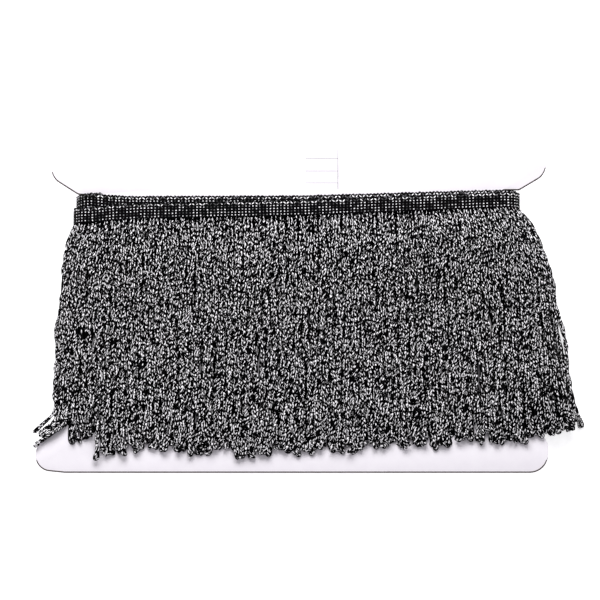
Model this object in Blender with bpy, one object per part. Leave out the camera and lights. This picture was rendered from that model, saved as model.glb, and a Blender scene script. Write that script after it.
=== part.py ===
"""Chainette fringe trim, three yards wound flat round the neck of a die-cut display card.

The card lies face up: X is the width of the winding, +Y runs from the hem to the woven heading and
+Z comes out of the front. The origin is on the surface that the winding rests on, under the middle.
"""

import math
import random

import bmesh
import bpy
import numpy as np

MM = 0.001

# Card
CARD_THICK = 1.6
NECK_LEFT = -130.6
NECK_RIGHT = 117.6
SHOULDER_LEFT = 68.5
SHOULDER_RIGHT = 71.3
CARD_ARC_STEPS = 4

# Heading, the woven band that all the strands hang from
BAND_THICK = 1.4
BAND_HEIGHT = 10.5
LAYER_GAP = 0.3
LAYER_PITCH = BAND_THICK + LAYER_GAP
FULL_TURNS = 5
LAP_END_X = -124.7
LAP_Y = 64.6
LAP_BEND_Y = 63.6
OUTER_END_X = -50.0
BACK_STEP_X = -42.0
RAMP_RIGHT_X = -106.0
RAMP_LEFT_X = -118.0
BEND_STEPS = 6
BETWEEN_BENDS_X = (80.0, 40.0, -5.0, -50.0, -101.0)

# Fringe
SEED = 7
ROOT_STRIP_HEIGHT = 3.0
OUTER_LOCKS = 84
INNER_LOCKS = 28
INNER_LEFT = NECK_LEFT + 6.0
INNER_RIGHT = NECK_RIGHT - 6.0
LOCK_SHARE = 0.84
RING_AT = (0.06, 0.16, 0.34, 0.58, 0.82, 1.0)
INNER_RING_AT = (0.10, 0.40, 0.75, 1.0)
FLARE_RATE = 0.12
FLARE_RIGHT = 31.0
FLARE_RIGHT_FROM = 20.0
FLARE_RIGHT_FAST = 0.38
FLARE_LEFT = 6.5
FLARE_LEFT_FROM = -60.0
FLARE_LEFT_FAST = 0.6
OUTER_LOCK_THICK = 2.2
THICK_AT = (0.0, 0.2, 0.9, 1.0)
OUTER_LOCK_THICKS = (BAND_THICK, OUTER_LOCK_THICK, OUTER_LOCK_THICK, BAND_THICK)
TIP_FROM = 0.85
TIP_WIDTH = 0.6
LAID_FLAT_AT = 0.33
STRAY_POWER = 6
LOCK_WAVE = 0.22
HEM_JITTER = 2.2
HEM_CLUMPS = ((0.8, 1.9), (0.6, 0.63))

# Levels, counted outwards from the card
BEND_RADIUS_1 = CARD_THICK / 2 + LAYER_GAP + BAND_THICK / 2
OUTER_LEVEL = FULL_TURNS + 1
INNER_FIRST_LEVEL = 1
MIDDLE_FIRST_LEVEL = 3
CARD_MID_Z = BEND_RADIUS_1 + LAYER_PITCH * FULL_TURNS + BAND_THICK / 2
CARD_FRONT_Z = CARD_MID_Z + CARD_THICK / 2
CARD_BACK_Z = CARD_MID_Z - CARD_THICK / 2

# Each corner of the card's outline, anticlockwise from the top left, with the radius it is cut to
CARD_CORNERS = (
    # x, y, radius
    (-155.0, 100.5, 16.0),
    (-155.0, 79.1, 9.0),
    (-138.6, SHOULDER_LEFT, 4.0),
    (NECK_LEFT, SHOULDER_LEFT, 0.5),
    (NECK_LEFT, -67.0, 6.0),
    (-163.4, -79.4, 14.0),
    (-163.4, -98.7, 9.0),
    (-146.0, -100.5, 15.0),
    (143.0, -100.5, 11.0),
    (143.0, -80.3, 9.0),
    (NECK_RIGHT, -63.0, 10.0),
    (NECK_RIGHT, SHOULDER_RIGHT, 0.5),
    (126.6, SHOULDER_RIGHT, 4.0),
    (143.0, 81.2, 10.0),
    (143.0, 100.5, 16.0),
)

# Height of the heading's middle on each run, at five places across the winding
RUN_X = (-130.6, -118.0, -101.0, -5.0, 117.6)
FRONT_Y = (
    # at each place of RUN_X, one row for each turn
    (63.0, 61.5, 61.4, 61.9, 65.2),
    (62.6, 61.2, 61.1, 61.5, 65.5),
    (63.1, 61.7, 61.6, 62.0, 65.1),
    (62.9, 61.4, 61.3, 61.6, 65.4),
    (54.0, 55.3, 56.7, 58.6, 63.7),
)
BACK_Y = (
    (61.3, 61.4, 61.5, 62.0, 63.9),
    (61.0, 61.1, 61.2, 61.7, 64.2),
    (61.3, 61.4, 61.5, 62.1, 64.0),
    (61.1, 61.2, 61.3, 61.8, 64.1),
    (61.2, 61.1, 61.0, 61.6, 64.2),
    (55.6, 55.9, 56.4, 59.0, 63.0),
)

# Lowest reach of the fringe across the hem
HEM = (
    # x, y
    (-153.0, -75.0),
    (-140.0, -82.0),
    (-122.0, -89.0),
    (-105.0, -87.5),
    (-60.0, -88.5),
    (-38.0, -91.0),
    (20.0, -89.0),
    (60.0, -86.5),
    (90.0, -83.0),
    (127.0, -82.0),
    (140.0, -78.5),
    (160.0, -74.0),
)

# Under side of a front strand's tip: on the card's lower bar, or fallen past the bar's right end
HEM_END_X = (-150.0, -132.0, 132.0, 139.0, 146.5, 150.0, 161.0)
HEM_END_Z = (12.6, 15.3, 15.3, 14.8, 12.6, 9.5, 4.0)

# How far up each stack of layers reaches, at these shares of the way down a strand
STACK_AT = (0.0, 0.16, 0.34, 0.58, 0.82, 1.0)
FRONT_STACK_Z = (18.9, 18.6, 18.1, 17.4, 16.4, 15.3)
BACK_STACK_Z = (9.9, 9.4, 8.8, 8.0, 7.2, 6.6)
SETTLED_AT = 0.16
FALLEN_AT = 0.8

# Strands at the ends of the outer layers that stray from the rest
FRONT, BACK = 1, -1
STRAYS = (
    # face of the card, lock counted from the right, x of its tip, y of its tip
    (FRONT, 0, 163.2, -71.5),
    (FRONT, 82, -162.3, -85.6),
    (FRONT, 83, -163.4, -77.0),
)


def material(name, colour, roughness):
    made = bpy.data.materials.new(name)
    made.use_nodes = True
    shader = made.node_tree.nodes["Principled BSDF"]
    shader.inputs["Base Color"].default_value = (*colour, 1.0)
    shader.inputs["Roughness"].default_value = roughness
    shader.inputs["Metallic"].default_value = 0.0
    return made


def add_object(name, mesh_builder, finish):
    """Turns a bmesh drawn in millimetres into a named object in metres."""
    bmesh.ops.scale(mesh_builder, vec=(MM, MM, MM), verts=mesh_builder.verts)
    bmesh.ops.recalc_face_normals(mesh_builder, faces=mesh_builder.faces)
    mesh = bpy.data.meshes.new(name)
    mesh_builder.to_mesh(mesh)
    mesh_builder.free()
    mesh.materials.append(finish)
    mesh.shade_smooth()
    mesh.set_sharp_from_angle(angle=math.radians(35))
    made = bpy.data.objects.new(name, mesh)
    bpy.context.collection.objects.link(made)
    return made


def radius_of(level):
    return BEND_RADIUS_1 + LAYER_PITCH * (level - 1)


def rounded_outline(corners, steps):
    """The points of a polygon whose corners are turned as arcs that touch both sides."""
    points = []
    for index, (x, y, radius) in enumerate(corners):
        corner = np.array((x, y))
        before = np.array(corners[index - 1][:2]) - corner
        after = np.array(corners[(index + 1) % len(corners)][:2]) - corner
        before /= np.linalg.norm(before)
        after /= np.linalg.norm(after)
        half_angle = math.acos(float(before @ after)) / 2
        inward = (before + after) / np.linalg.norm(before + after)
        centre = corner + inward * radius / math.sin(half_angle)
        start = corner + before * radius / math.tan(half_angle) - centre
        turn = math.pi - 2 * half_angle
        side = 1 if before[0] * after[1] - before[1] * after[0] < 0 else -1
        for step in range(steps + 1):
            angle = side * turn * step / steps
            cos, sin = math.cos(angle), math.sin(angle)
            points.append(centre + (start[0] * cos - start[1] * sin, start[0] * sin + start[1] * cos))
    return points


def build_card(finish):
    bm = bmesh.new()
    outline = rounded_outline(CARD_CORNERS, CARD_ARC_STEPS)
    face = bm.faces.new([bm.verts.new((x, y, CARD_BACK_Z)) for x, y in outline])
    raised = bmesh.ops.extrude_face_region(bm, geom=[face])["geom"]
    moved = [item for item in raised if isinstance(item, bmesh.types.BMVert)]
    bmesh.ops.translate(bm, vec=(0, 0, CARD_THICK), verts=moved)
    bmesh.ops.triangulate(bm, faces=[f for f in bm.faces if len(f.verts) > 4])
    return add_object("card", bm, finish)


def bend_stations(side, level, from_front, y_start, y_end):
    """Places round the neck's edge, between the runs on its two faces, as (x, y, z, outward x, outward z)."""
    edge = NECK_RIGHT if side > 0 else NECK_LEFT
    stations = []
    for step in range(1, BEND_STEPS):
        share = step / BEND_STEPS
        angle = math.pi * share if from_front else math.pi * (1 - share)
        out_x, out_z = side * math.sin(angle), math.cos(angle)
        reach = radius_of(level)
        stations.append((
            edge + reach * out_x,
            y_start + (y_end - y_start) * share,
            CARD_MID_Z + reach * out_z,
            out_x,
            out_z,
        ))
    return stations


def front_run(turn):
    """A front run climbs one level near its left end, over the lap that starts the winding."""
    at = (NECK_RIGHT, *BETWEEN_BENDS_X, RAMP_RIGHT_X, RAMP_LEFT_X, NECK_LEFT)
    stations = []
    for x in at:
        level = turn + float(np.interp(x, (RAMP_LEFT_X, RAMP_RIGHT_X), (1.0, 0.0)))
        y = float(np.interp(x, RUN_X, FRONT_Y[turn - 1]))
        stations.append((x, y, CARD_MID_Z + radius_of(level), 0.0, 1.0))
    return stations


def back_run(turn, end_x=NECK_RIGHT):
    at = [x for x in (NECK_LEFT, *reversed(BETWEEN_BENDS_X)) if x < end_x]
    stations = []
    for x in (*at, end_x):
        y = float(np.interp(x, RUN_X, BACK_Y[turn - 1]))
        stations.append((x, y, CARD_MID_Z - radius_of(turn), 0.0, -1.0))
    return stations


def winding_stations():
    """The heading's middle line, from its inner end on the front to its outer end on the back."""
    lap_z = CARD_MID_Z + radius_of(1)
    stations = [(LAP_END_X, LAP_Y, lap_z, 0.0, 1.0), (NECK_LEFT, LAP_BEND_Y, lap_z, 0.0, 1.0)]
    for turn in range(1, FULL_TURNS + 1):
        stations += bend_stations(-1, turn, True, stations[-1][1], BACK_Y[turn - 1][0])
        stations += back_run(turn)
        stations += bend_stations(1, turn, False, BACK_Y[turn - 1][-1], FRONT_Y[turn - 1][-1])
        stations += front_run(turn)
    stations += bend_stations(-1, OUTER_LEVEL, True, FRONT_Y[-1][0], BACK_Y[-1][0])
    stations += back_run(OUTER_LEVEL, OUTER_END_X)
    return stations


def build_heading(finish):
    bm = bmesh.new()
    half_thick, half_height = BAND_THICK / 2, BAND_HEIGHT / 2
    rings = []
    for x, y, z, out_x, out_z in winding_stations():
        ring = []
        for across, up in ((1, 1), (1, -1), (-1, -1), (-1, 1)):
            ring.append(bm.verts.new((
                x + across * half_thick * out_x,
                y + up * half_height,
                z + across * half_thick * out_z,
            )))
        rings.append(ring)
    for ring, following in zip(rings, rings[1:]):
        for corner in range(4):
            after = (corner + 1) % 4
            bm.faces.new((ring[corner], ring[after], following[after], following[corner]))
    bm.faces.new(rings[0])
    bm.faces.new(rings[-1])
    return add_object("heading", bm, finish)


class Layer:
    """One backing and its locks: how it lies is worked out from s, the distance along the trim from x = 0."""

    def __init__(self, side, depth, locks, rings, low_s, high_s):
        self.side = side
        self.depth = depth
        self.locks = locks
        self.rings = rings
        self.low_s = low_s
        self.high_s = high_s

    def level(self, s):
        """The heading's level here: the outer layer climbs with the outermost run."""
        if self.side > 0:
            return float(np.interp(s, (RAMP_LEFT_X, RAMP_RIGHT_X), (OUTER_LEVEL, FULL_TURNS)))
        return float(np.interp(s, (OUTER_END_X, BACK_STEP_X), (OUTER_LEVEL, FULL_TURNS)))

    def root(self, s):
        """The (x, z) of the backing's inner and outer faces at s, and the outward direction."""
        if self.depth == "outer":
            reach = radius_of(self.level(s))
            inner, outer = reach - BAND_THICK / 2, reach + BAND_THICK / 2
        else:
            first = INNER_FIRST_LEVEL if self.depth == "inner" else MIDDLE_FIRST_LEVEL
            inner = radius_of(first) - BAND_THICK / 2
            outer = radius_of(first + 1) + BAND_THICK / 2
            reach = 1.0
        x, angle = s, 0.0
        if s > NECK_RIGHT:
            x, angle = NECK_RIGHT, (s - NECK_RIGHT) / reach
        elif s < NECK_LEFT:
            x, angle = NECK_LEFT, (s - NECK_LEFT) / reach
        out = np.array((math.sin(angle), self.side * math.cos(angle)))
        middle = np.array((x, CARD_MID_Z))
        return middle + inner * out, middle + outer * out, out

    def top_y(self, s):
        """The backing's upper edge, just under the heading."""
        if self.depth == "outer":
            own = FRONT_Y[-1] if self.side > 0 else BACK_Y[-2]
            other = BACK_Y[-2] if self.side > 0 else FRONT_Y[-1]
            y = float(np.interp(s, RUN_X, own))
            if self.side < 0:
                last = float(np.interp(s, RUN_X, BACK_Y[-1]))
                y = last + (y - last) * float(np.interp(s, (OUTER_END_X, BACK_STEP_X), (0, 1)))
            if s > NECK_RIGHT:
                quarter = radius_of(FULL_TURNS) * math.pi / 2
                y += (other[-1] - own[-1]) / 2 * (s - NECK_RIGHT) / quarter
            elif s < NECK_LEFT:
                y = min(FRONT_Y[-1][0], BACK_Y[-1][0])
        else:
            y = min(float(np.interp(s, RUN_X, run)) for run in (*FRONT_Y[:-1], *BACK_Y[:-2]))
        return y - BAND_HEIGHT / 2 - LAYER_GAP

    def slab(self, share):
        """The lowest and highest z that this layer's locks fill, a share of the way down."""
        if self.side > 0:
            floor = CARD_FRONT_Z + LAYER_GAP
            outer = float(np.interp(share, STACK_AT, FRONT_STACK_Z))
            middle = (floor + outer - LAYER_GAP) / 2
            if self.depth == "outer":
                return outer, outer + float(np.interp(share, THICK_AT, OUTER_LOCK_THICKS))
            if self.depth == "middle":
                return middle + LAYER_GAP / 2, outer - LAYER_GAP
            return floor, middle - LAYER_GAP / 2
        last_low = LAYER_PITCH
        last_high = LAYER_PITCH + BAND_THICK
        outer = float(np.interp(share, (0, SETTLED_AT), (last_high, OUTER_LOCK_THICK)))
        ceiling = float(np.interp(share, STACK_AT, BACK_STACK_Z))
        middle = (outer + LAYER_GAP + ceiling) / 2
        if self.depth == "outer":
            return float(np.interp(share, (0, SETTLED_AT), (last_low, 0.0))), outer
        if self.depth == "middle":
            return outer + LAYER_GAP, middle - LAYER_GAP / 2
        return middle + LAYER_GAP / 2, ceiling


def hem_x(s):
    """How far across the hem a strand ends whose root is at s: the winding lets them spread at both ends."""
    limit_right = NECK_RIGHT + radius_of(FULL_TURNS) * math.pi / 2
    limit_left = NECK_LEFT - radius_of(OUTER_LEVEL) * math.pi / 2
    if s > FLARE_RIGHT_FROM:
        return s + FLARE_RIGHT * ((s - FLARE_RIGHT_FROM) / (limit_right - FLARE_RIGHT_FROM)) ** 2
    if s < FLARE_LEFT_FROM:
        return s - FLARE_LEFT * ((s - FLARE_LEFT_FROM) / (limit_left - FLARE_LEFT_FROM)) ** 2
    return s


def flare(s, share):
    """How much of its way across a strand has gone: part of it fast near the top, the rest evenly."""
    fast = FLARE_RIGHT_FAST if s > 0 else FLARE_LEFT_FAST
    return fast * (1 - math.exp(-share / FLARE_RATE)) / (1 - math.exp(-1 / FLARE_RATE)) + (1 - fast) * share


def lock_ring(layer, s, half_s, share, end_y, stray, wave):
    """The three corners of a lock's section a share of the way down: two inner ones and its outer ridge."""
    inner, outer, out = layer.root(s)
    drop = flare(s, share)
    end_x = hem_x(s)
    x = inner[0] + (end_x - inner[0]) * drop + stray * share**STRAY_POWER + wave * share
    low, high = layer.slab(share)
    around = layer.depth == "outer" and not NECK_LEFT < s < NECK_RIGHT
    if layer.side > 0:
        base, ridge = low, high
        if around:
            thick = high - low
            eased = min(1.0, share / FALLEN_AT)
            base = inner[1] + (float(np.interp(end_x, HEM_END_X, HEM_END_Z)) - inner[1]) * eased
            ridge = base + thick
        elif layer.depth == "outer":
            settle = max(0.0, 1 - share / SETTLED_AT)
            base += (inner[1] - FRONT_STACK_Z[0]) * settle
            ridge += (inner[1] - FRONT_STACK_Z[0]) * settle
    else:
        base, ridge = high, low
        if layer.depth == "outer":
            settle = max(0.0, 1 - share / SETTLED_AT)
            base += (inner[1] - base) * settle
            ridge += (outer[1] - ridge) * settle
    spread = 1 + (hem_x(s + 1) - hem_x(s - 1) - 2) / 2 * drop
    half = half_s * spread * LOCK_SHARE * float(np.interp(share, (TIP_FROM, 1), (1, TIP_WIDTH)))
    y = layer.top_y(s) - ROOT_STRIP_HEIGHT
    y += (end_y - y) * share
    flat = min(1.0, share / LAID_FLAT_AT)
    turned = out * (1 - flat) + np.array((0, layer.side)) * flat
    turned /= np.linalg.norm(turned)
    along = np.array((turned[1], -turned[0])) * layer.side
    middle = np.array((x, base))
    first = middle + along * half
    last = middle - along * half
    top = middle + turned * abs(ridge - base)
    return [(first[0], y, first[1]), (top[0], y, top[1]), (last[0], y, last[1])]


def build_fringe(name, layer, finish, chance):
    """A narrow strip of backing with a row of three-sided locks drawn down from its lower face."""
    bm = bmesh.new()
    edges = np.linspace(layer.high_s, layer.low_s, layer.locks + 1)
    half_s = abs(edges[1] - edges[0]) / 2
    cells = []
    for start, end in zip(edges, edges[1:]):
        middle = (start + end) / 2
        cells.append((middle, [middle + half_s * LOCK_SHARE, middle - half_s * LOCK_SHARE]))

    def corner(s, outside, up):
        inner, outer, _ = layer.root(s)
        place = outer if outside else inner
        return bm.verts.new((place[0], layer.top_y(s) - (0 if up else ROOT_STRIP_HEIGHT), place[1]))

    rows = []
    for middle, (first, last) in cells:
        rows.append({
            "first": corner(first, False, False),
            "last": corner(last, False, False),
            "ridge": corner(middle, True, False),
            "inner_top": corner(middle, False, True),
            "outer_top": corner(middle, True, True),
        })
    roots = []
    for row in rows:
        roots.append(bm.faces.new((row["first"], row["ridge"], row["last"])))
        bm.faces.new((row["first"], row["last"], row["inner_top"]))
    for row, after in zip(rows, rows[1:]):
        bm.faces.new((row["last"], row["ridge"], after["first"]))
        bm.faces.new((row["ridge"], after["ridge"], after["first"]))
        bm.faces.new((row["last"], after["first"], after["inner_top"], row["inner_top"]))
        bm.faces.new((row["ridge"], row["outer_top"], after["outer_top"], after["ridge"]))
        bm.faces.new((row["outer_top"], row["inner_top"], after["inner_top"], after["outer_top"]))
    start, end = rows[0], rows[-1]
    bm.faces.new((start["first"], start["inner_top"], start["outer_top"], start["ridge"]))
    bm.faces.new((end["last"], end["ridge"], end["outer_top"], end["inner_top"]))

    hem_points_x, hem_points_y = zip(*HEM)
    for index, (face, (middle, _)) in enumerate(zip(roots, cells)):
        end_x = hem_x(middle)
        clump = sum(reach * math.sin(index * pace) for reach, pace in HEM_CLUMPS)
        end_y = float(np.interp(end_x, hem_points_x, hem_points_y)) + clump
        end_y += chance.uniform(-HEM_JITTER, HEM_JITTER)
        wave = chance.uniform(-LOCK_WAVE, LOCK_WAVE)
        stray = 0.0
        for face_side, lock, tip_x, tip_y in STRAYS:
            if layer.depth == "outer" and (face_side, lock) == (layer.side, index):
                stray, end_y, wave = tip_x - end_x, tip_y, 0.0
        for share in layer.rings:
            face = bmesh.ops.extrude_discrete_faces(bm, faces=[face])["faces"][0]
            ring = lock_ring(layer, middle, half_s, share, end_y, stray, wave)
            for vert, place in zip(face.verts, ring):
                vert.co = place
    return add_object(name, bm, finish)


def clear_scene():
    for old in list(bpy.data.objects):
        bpy.data.objects.remove(old, do_unlink=True)


def main():
    clear_scene()
    board = material("white_board", (0.86, 0.83, 0.87), 0.6)
    woven = material("black_and_white_heading", (0.04, 0.04, 0.045), 0.85)
    marl = material("black_and_white_chainette", (0.10, 0.10, 0.105), 0.8)
    build_card(board)
    build_heading(woven)
    chance = random.Random(SEED)
    ring_high = NECK_RIGHT + radius_of(FULL_TURNS) * math.pi / 2 - LAYER_GAP
    ring_low = NECK_LEFT - radius_of(OUTER_LEVEL) * math.pi / 2 + LAYER_GAP
    for side, face_name in ((FRONT, "front"), (BACK, "back")):
        outer = Layer(side, "outer", OUTER_LOCKS, RING_AT, ring_low, ring_high)
        build_fringe(f"fringe_{face_name}_outer", outer, marl, chance)
        for depth in ("middle", "inner"):
            layer = Layer(side, depth, INNER_LOCKS, INNER_RING_AT, INNER_LEFT, INNER_RIGHT)
            build_fringe(f"fringe_{face_name}_{depth}", layer, marl, chance)


main()
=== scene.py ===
# %% [markdown]
# # Chainette fringe trim wound on a display card
#
# A trimming shop sells fringe by the yard from a die-cut card. A woven heading about half an inch
# high is wound round the card's narrow neck, and six-inch loops of knitted black and white chainette
# hang from it over the card's lower bar. This lesson dresses the imported solids with the real board,
# weave and yarn.
#
# First the imported model is loaded. The dressed part must not grow past it.

import math

import bpy
import numpy as np
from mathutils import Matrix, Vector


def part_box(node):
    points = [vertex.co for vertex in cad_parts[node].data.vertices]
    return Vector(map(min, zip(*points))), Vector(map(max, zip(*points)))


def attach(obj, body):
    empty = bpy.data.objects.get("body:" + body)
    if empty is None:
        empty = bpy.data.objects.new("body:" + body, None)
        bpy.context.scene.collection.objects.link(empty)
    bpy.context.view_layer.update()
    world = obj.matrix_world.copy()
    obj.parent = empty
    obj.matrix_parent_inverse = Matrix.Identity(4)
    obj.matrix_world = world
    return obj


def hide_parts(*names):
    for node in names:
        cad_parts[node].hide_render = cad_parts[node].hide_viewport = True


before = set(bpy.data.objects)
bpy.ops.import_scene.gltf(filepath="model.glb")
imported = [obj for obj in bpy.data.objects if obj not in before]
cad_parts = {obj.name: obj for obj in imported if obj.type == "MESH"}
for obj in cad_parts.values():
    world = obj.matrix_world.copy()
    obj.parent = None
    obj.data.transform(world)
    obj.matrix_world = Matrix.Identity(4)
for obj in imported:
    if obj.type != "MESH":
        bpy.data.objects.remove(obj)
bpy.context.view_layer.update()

# %% [markdown]
# All sizes below are in millimetres and are the ones that the solids were built with, so that each
# piece lies where its solid does. The card's two faces are read from its solid's box.
#
# The heading winds outwards in levels. Level 1 lies on the card and each level is one band's
# thickness further out, round the neck's rounded ends as well.

# %% Sizes shared with the solids
MM = 0.001
CARD_BACK_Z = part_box("card")[0].z / MM
CARD_FRONT_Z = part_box("card")[1].z / MM
CARD_MID_Z = (CARD_BACK_Z + CARD_FRONT_Z) / 2
CARD_THICK = CARD_FRONT_Z - CARD_BACK_Z
NECK_LEFT, NECK_RIGHT = -130.6, 117.6
BAND_THICK, BAND_HEIGHT, LAYER_GAP, LAYER_PITCH = 1.4, 10.5, 0.3, 1.7
FULL_TURNS, OUTER_LEVEL = 5, 6
OUTER_END_X, BACK_STEP_X = -50.0, -42.0
RAMP_LEFT_X, RAMP_RIGHT_X = -118.0, -106.0
BEND_RADIUS_1 = CARD_THICK / 2 + LAYER_GAP + BAND_THICK / 2
FRONT, BACK = 1, -1


def radius_of(level):
    return BEND_RADIUS_1 + LAYER_PITCH * (level - 1)


print("card faces at z", round(CARD_BACK_Z, 2), round(CARD_FRONT_Z, 2))

# %% [markdown]
# The photograph looks almost straight down. The card's bars show no narrowing from top to bottom, so
# the lens is long and far away. The cut edge shows only along the card's lower sides, so the camera
# leans a little towards the hem.

# %% Camera
VIEW_LEAN = math.radians(10)
VIEW_DISTANCE = 4.0
VIEW_WIDTH = 0.36
SENSOR_MM = 36.0
view_middle = (-0.0053, 0.0042, CARD_FRONT_Z * MM)
bpy.ops.object.camera_add(
    location=(
        view_middle[0],
        view_middle[1] - VIEW_DISTANCE * math.sin(VIEW_LEAN),
        view_middle[2] + VIEW_DISTANCE * math.cos(VIEW_LEAN),
    ),
    rotation=(VIEW_LEAN, 0, 0),
)
camera = bpy.context.object
camera.name = "overhead_camera"
camera.data.sensor_width = SENSOR_MM
camera.data.lens = SENSOR_MM * VIEW_DISTANCE / VIEW_WIDTH
camera.data.clip_end = 20
bpy.context.scene.camera = camera
print("lens", round(camera.data.lens), "mm")

# %% [markdown]
# The picture is a high-key shop photograph: the floor and the card's top bar are burnt out to white,
# and the lower bar is a shade darker, with a soft shadow under the hem. One large soft light above
# the card's top bar and a bright even sky give that. The Standard view transform keeps the whites
# white and the yarn's blacks black.

# %% Light and floor
SKY_TINT, SKY_STRENGTH = (0.97, 0.96, 1.0, 1), 0.50
SOFTBOX_PLACE, SOFTBOX_TURN = (-0.13, 0.70, 0.72), (-43, 0, -9)
SOFTBOX_SIZE, SOFTBOX_WATTS = (0.8, 0.55), 13.5
FLOOR_SIZE, FLOOR_Z = 8, -0.0002
FLOOR_TINT, FLOOR_GLOW = (0.93, 0.93, 0.94, 1), 0.58

bpy.context.scene.view_settings.view_transform = "Standard"

sky = bpy.data.worlds.new("even_white_sky")
bpy.context.scene.world = sky
sky.use_nodes = True
sky_shader = sky.node_tree.nodes["Background"]
sky_shader.inputs["Color"].default_value = SKY_TINT
sky_shader.inputs["Strength"].default_value = SKY_STRENGTH

bpy.ops.object.light_add(type="AREA", location=SOFTBOX_PLACE)
softbox = bpy.context.object
softbox.name = "softbox"
softbox.data.shape = "RECTANGLE"
softbox.data.size, softbox.data.size_y = SOFTBOX_SIZE
softbox.data.energy = SOFTBOX_WATTS
softbox.rotation_euler = [math.radians(degrees) for degrees in SOFTBOX_TURN]
softbox.visible_camera = False

bpy.ops.mesh.primitive_plane_add(size=FLOOR_SIZE, location=(0, 0, FLOOR_Z))
floor = bpy.context.object
floor.name = "floor"
floor_finish = bpy.data.materials.new("white paper sweep")
floor_finish.use_nodes = True
floor_shader = floor_finish.node_tree.nodes["Principled BSDF"]
floor_shader.inputs["Base Color"].default_value = FLOOR_TINT
floor_shader.inputs["Roughness"].default_value = 0.9
floor_shader.inputs["Emission Color"].default_value = (1, 1, 1, 1)
floor_shader.inputs["Emission Strength"].default_value = FLOOR_GLOW
floor.data.materials.append(floor_finish)

# %% [markdown]
# Four small helpers serve every finish below. Web colours are sRGB, but a shader wants linear
# light, so one function turns a hex value into linear numbers. Another adds a node, sets its
# values and links its inputs in one call. The third starts a material with its finish set, and the
# last gives the result of one sum.

# %% Helpers for finishes
def linear(hex_colour):
    """A linear RGBA colour from an sRGB hex value such as f2eff4."""
    values = [int(hex_colour[i:i + 2], 16) / 255 for i in (0, 2, 4)]
    return [v / 12.92 if v <= 0.04045 else ((v + 0.055) / 1.055) ** 2.4 for v in values] + [1.0]


def add_node(tree, kind, settings=None, **inputs):
    """Adds a node. An input given as a node's socket is linked, and any other value is set."""
    node = tree.nodes.new("ShaderNode" + kind)
    for name, value in (settings or {}).items():
        setattr(node, name, value)
    for name, value in inputs.items():
        key = int(name[1:]) if name[0] == "i" and name[1:].isdigit() else name.replace("_", " ")
        if isinstance(value, bpy.types.NodeSocket):
            tree.links.new(value, node.inputs[key])
        else:
            node.inputs[key].default_value = value
    return node


def start_finish(name, roughness, ior, specular=0.5):
    """A new material with its plain values on the shader's own sockets."""
    finish = bpy.data.materials.new(name)
    finish.use_nodes = True
    shader = finish.node_tree.nodes["Principled BSDF"]
    shader.inputs["Roughness"].default_value = roughness
    shader.inputs["IOR"].default_value = ior
    shader.inputs["Metallic"].default_value = 0.0
    shader.inputs["Specular IOR Level"].default_value = specular
    return finish, finish.node_tree, shader


def math_node(tree, operation, first, second=0.0, third=0.0):
    """The result of one sum on sockets or numbers."""
    node = add_node(tree, "Math", {"operation": operation}, i0=first, i1=second, i2=third)
    return node.outputs[0]


BLACK_YARN, WHITE_YARN = linear("030304"), linear("fbf9fc")
print("black yarn is", [round(v, 4) for v in BLACK_YARN[:3]])

# %% [markdown]
# The card is solid bleached board, coated with white clay and calendered, then cut out with a steel
# rule. The coating is smooth but not glossy, and its brightness drifts a little because the pulp
# under it clouds. Pulp clouds are a few millimetres across. Paper's IOR is near 1.5.
#
# A card of this kind often has an empty ruled box for a price. It is drawn here as thin grey
# printed lines, 0.35 mm wide, and it holds no words.

# %% Clay-coated board
board, tree, shader = start_finish("clay-coated bleached board", 0.55, 1.5)
place = add_node(tree, "TexCoord").outputs["Object"]
clouds = add_node(tree, "TexNoise", Vector=place, Scale=140.0, Detail=3.0, Roughness=0.6)
cloud_tint = add_node(tree, "MixRGB", i0=clouds.outputs["Fac"], i1=linear("f4f0f5"), i2=linear("ebe6ed"))

BOX_LINES = (
    # left, right, low, high, in millimetres
    (17.35, 17.7, 72.0, 98.0),
    (-2.0, 17.5, 90.6, 90.9),
    (-2.0, 17.5, 82.9, 83.2),
    (-2.0, 17.5, 75.6, 75.9),
)
axes = add_node(tree, "SeparateXYZ", Vector=place)
on_front = math_node(tree, "GREATER_THAN", axes.outputs["Z"], CARD_MID_Z * MM)
ink = 0.0
for left, right, low, high in BOX_LINES:
    across = math_node(tree, "COMPARE", axes.outputs["X"], (left + right) / 2 * MM, (right - left) / 2 * MM)
    up = math_node(tree, "COMPARE", axes.outputs["Y"], (low + high) / 2 * MM, (high - low) / 2 * MM)
    ink = math_node(tree, "MAXIMUM", ink, math_node(tree, "MULTIPLY", across, up))
ink = math_node(tree, "MULTIPLY", ink, on_front)
printed = add_node(tree, "MixRGB", i0=ink, i1=cloud_tint.outputs["Color"], i2=linear("6c6870"))
tree.links.new(printed.outputs["Color"], shader.inputs["Base Color"])
fibres = add_node(tree, "TexNoise", Vector=place, Scale=900.0, Detail=2.0)
surface = add_node(tree, "Bump", Height=fibres.outputs["Fac"], Strength=0.12, Distance=0.0002)
tree.links.new(surface.outputs["Normal"], shader.inputs["Normal"])

# %% [markdown]
# Where the die has cut it, the board shows its uncoated core: plies of grey-brown pulp that are
# duller and rougher than the face. The plies are a few tenths of a millimetre thick, so they are
# drawn as a noise that is squeezed along Z. The same dark finish is also put on the rounding that
# looks towards the hem, as painted shade.

# %% Cut edge of the board
edge, tree, shader = start_finish("uncoated pulp core at the cut and painted shade", 0.9, 1.45)
place = add_node(tree, "TexCoord").outputs["Object"]
squeezed = add_node(tree, "Mapping", Vector=place, Scale=(120.0, 120.0, 2600.0))
plies = add_node(tree, "TexNoise", Vector=squeezed.outputs["Vector"], Scale=1.0, Detail=2.0)
ply_tint = add_node(tree, "MixRGB", i0=plies.outputs["Fac"], i1=linear("332a26"), i2=linear("4e423b"))
tree.links.new(ply_tint.outputs["Color"], shader.inputs["Base Color"])

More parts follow.
